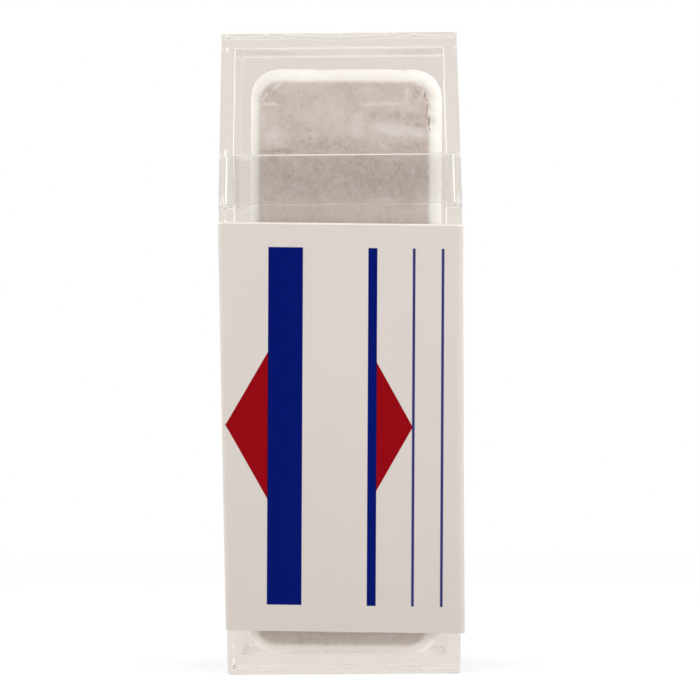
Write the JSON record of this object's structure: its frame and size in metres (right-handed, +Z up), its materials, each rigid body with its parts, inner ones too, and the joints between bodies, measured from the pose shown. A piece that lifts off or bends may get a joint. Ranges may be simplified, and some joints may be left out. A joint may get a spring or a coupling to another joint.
{
  "type": "grooming chalk block",
  "caption": "White pressed chalk bar standing in a clear two-part plastic box with a pull-off cover and a striped paper band round its base.",
  "frame": {"origin": "centre of the bottom of the overall box, on the surface that the base stands on", "axes": "+Z up along the length and the way the cover pulls off, +X to the right across the width, front face towards -Y"},
  "size_m": [0.0528, 0.04, 0.1387],
  "materials": {
    "clear_plastic": "clear moulded polystyrene, polished mould surfaces",
    "chalk": "pressed chalk, dusty and smeared",
    "printed_paper": "smooth coated paper printed in blue and red"
  },
  "bodies": {
    "box_base": {"base": "clear_plastic", "chalk_block": "chalk", "label": "printed_paper"},
    "box_cover": {"cover": "clear_plastic"}
  },
  "joints": [
    {"name": "cover_slide", "type": "slide", "parent": "box_base", "child": "box_cover", "axis": [0, 0, 1], "range_m": [0, 0.035]}
  ]
}
